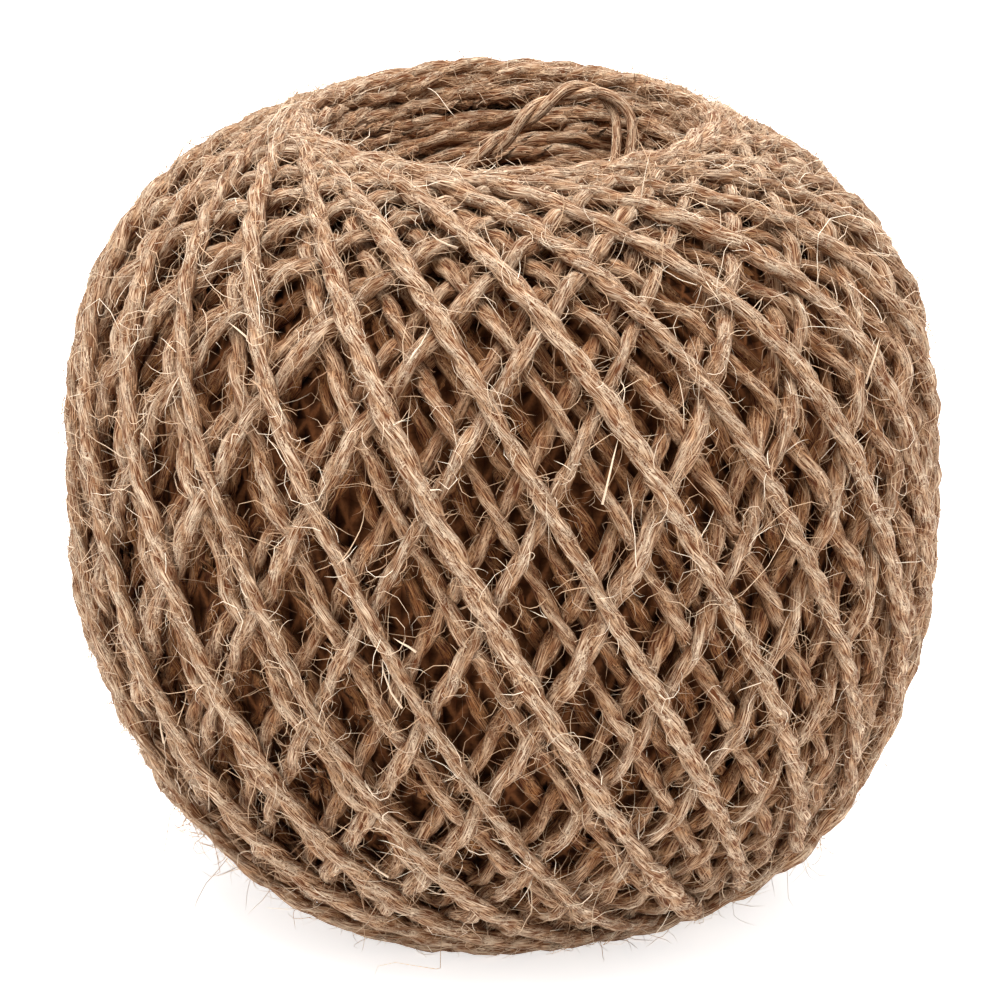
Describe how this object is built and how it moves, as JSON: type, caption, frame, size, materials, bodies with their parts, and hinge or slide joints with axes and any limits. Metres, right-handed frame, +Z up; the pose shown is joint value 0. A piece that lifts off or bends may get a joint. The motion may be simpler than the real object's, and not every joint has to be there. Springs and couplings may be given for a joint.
{
  "type": "ball of twine",
  "caption": "Cross-wound ball of hairy jute twine with an open well at each end and a loose arch of its inner end in the top one.",
  "frame": {"origin": "on the surface that the ball stands on, under its middle", "axes": "+Z up along the winding's axis and both wells, -Y towards the viewer, +X to the right"},
  "size_m": [0.082, 0.082, 0.075],
  "materials": {
    "twine": "undyed hairy two-ply jute, dull, with pale fibres along each ply"
  },
  "bodies": {
    "root": {"ball": "twine", "inner_end": "twine"}
  },
  "joints": []
}
